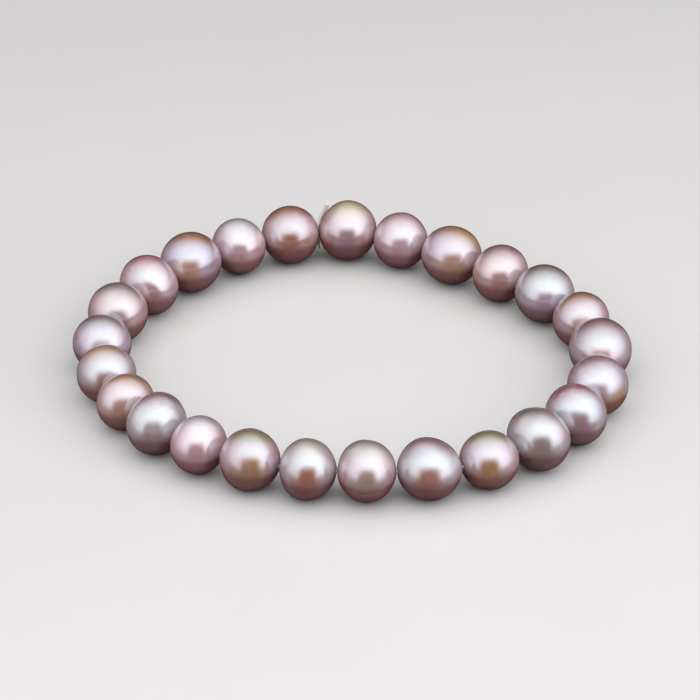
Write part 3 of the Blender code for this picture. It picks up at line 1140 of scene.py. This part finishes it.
def tent_cloth(name, place, turn, size, gain, colour, studio):
    """One cloth of the light tent, seen in the pearls but not by the camera."""
    light = bpy.data.lights.new(name, "AREA")
    light.shape = "RECTANGLE"
    light.size, light.size_y = size
    light.energy = math.pi * size[0] * size[1]
    light.color = colour
    light.use_nodes = True
    tree = light.node_tree
    glow = cloth_glow(tree, gain, studio)
    feed(tree, tree.nodes["Emission"].inputs["Strength"], glow)
    obj = bpy.data.objects.new(name, light)
    obj.location = place
    obj.rotation_euler = [math.radians(angle) for angle in turn]
    obj.visible_camera = False
    bpy.context.scene.collection.objects.link(obj)


def hang_tent(studio):
    """The light tent: its roof, its back and its two walls."""
    wall = studio.wall_colour
    mid_height = TENT_HEIGHT / 2
    roof_place = (0, TENT_MIDDLE, TENT_HEIGHT)
    back_place = (0, TENT_BACK, mid_height)
    tent_cloth("tent_roof", roof_place, (0, 0, 0), ROOF_SIZE, ROOF_GAIN, WHITE, studio)
    tent_cloth("tent_back", back_place, (-90, 0, 0), BACK_SIZE, BACK_GAIN, WHITE, studio)
    for name, side, gain in (("tent_left", -1, LEFT_GAIN), ("tent_right", 1, RIGHT_GAIN)):
        place = (side * TENT_WIDTH / 2, TENT_MIDDLE, mid_height)
        tent_cloth(name, place, (0, 90 * side, 0), SIDE_SIZE, gain, wall, studio)


def dim_room(studio):
    """The room round the tent: dim on the pearls, and pale behind the floor."""
    world = bpy.data.worlds.new("room")
    bpy.context.scene.world = world
    world.use_nodes = True
    tree = world.node_tree
    seen = put(tree, "ShaderNodeLightPath").outputs["Is Camera Ray"]
    dim = (studio.room_brightness,) * 3
    colour = tint(tree, seen, colour4(dim), colour4(studio.backdrop_colour))
    feed(tree, tree.nodes["Background"].inputs["Color"], colour)


def floor_material(studio):
    """Pale matt floor that throws less of its light on the pearls than it shows."""
    material = bpy.data.materials.new("floor_pale")
    material.use_nodes = True
    tree = material.node_tree
    shader = tree.nodes["Principled BSDF"]
    own = put(tree, "ShaderNodeTexCoord").outputs["Object"]
    grain, _ = noise(tree, own, GRAIN_SCALE, GRAIN_SEED, 3.0)
    shade = between(tree, grain, 1.0 - GRAIN_SHADE, 1.0 + GRAIN_SHADE)
    path = put(tree, "ShaderNodeLightPath").outputs
    mirrored = path["Is Glossy Ray"]
    bounce = between(tree, mirrored, studio.floor_bounce, studio.floor_mirror)
    bounce = between(tree, path["Is Camera Ray"], bounce, 1.0)
    shade = calc(tree, "MULTIPLY", shade, bounce)
    finish = {
        "Base Color": scaled(tree, studio.floor_colour, shade),
        "Roughness": between(tree, mirrored, 0.25, 0.1),
        "Specular IOR Level": 0.28,
    }
    feed_all(tree, shader, finish)
    return material


def lay_floor(studio):
    """A wide flat floor at the height that the pearls rest on."""
    mesh = bpy.data.meshes.new("floor")
    ways = ((-1, -1), (1, -1), (1, 1), (-1, 1))
    corners = [(x * FLOOR_REACH, y * FLOOR_REACH, 0) for x, y in ways]
    mesh.from_pydata(corners, [], [(0, 1, 2, 3)])
    mesh.materials.append(floor_material(studio))
    floor = bpy.data.objects.new("floor", mesh)
    bpy.context.scene.collection.objects.link(floor)


class BRACELET_OT_studio(bpy.types.Operator):
    """Set up the camera, the light tent, the room and the floor"""

    bl_idname = "bracelet.studio"
    bl_label = "Studio"

    def execute(self, context):
        studio = context.scene.bracelet_studio
        set_camera(studio)
        hang_tent(studio)
        dim_room(studio)
        lay_floor(studio)
        return {"FINISHED"}


class BRACELET_PT_panel(bpy.types.Panel):
    """Lists the bracelet's settings and steps"""

    bl_label = "Pearl bracelet"
    bl_idname = "BRACELET_PT_panel"
    bl_space_type = "VIEW_3D"
    bl_region_type = "UI"
    bl_category = "Bracelet"

    def draw(self, context):
        for settings, operator in (
            (context.scene.bracelet_pearls, BRACELET_OT_pearls),
            (context.scene.bracelet_thread, BRACELET_OT_thread),
            (context.scene.bracelet_studio, BRACELET_OT_studio),
        ):
            box = self.layout.box()
            for name in settings.__annotations__:
                box.prop(settings, name)
            box.operator(operator.bl_idname)


CLASSES = (
    BraceletPearlSettings,
    BraceletThreadSettings,
    BraceletStudioSettings,
    BRACELET_OT_pearls,
    BRACELET_OT_thread,
    BRACELET_OT_studio,
    BRACELET_PT_panel,
)
SETTINGS = {
    "bracelet_pearls": BraceletPearlSettings,
    "bracelet_thread": BraceletThreadSettings,
    "bracelet_studio": BraceletStudioSettings,
}


def register():
    for cls in CLASSES:
        bpy.utils.register_class(cls)
    for name, group in SETTINGS.items():
        setattr(bpy.types.Scene, name, bpy.props.PointerProperty(type=group))


def unregister():
    for name in SETTINGS:
        delattr(bpy.types.Scene, name)
    for cls in reversed(CLASSES):
        bpy.utils.unregister_class(cls)


def main():
    register()
    bpy.ops.bracelet.pearls()
    bpy.ops.bracelet.thread()
    bpy.ops.bracelet.studio()


if __name__ == "__main__":
    main()
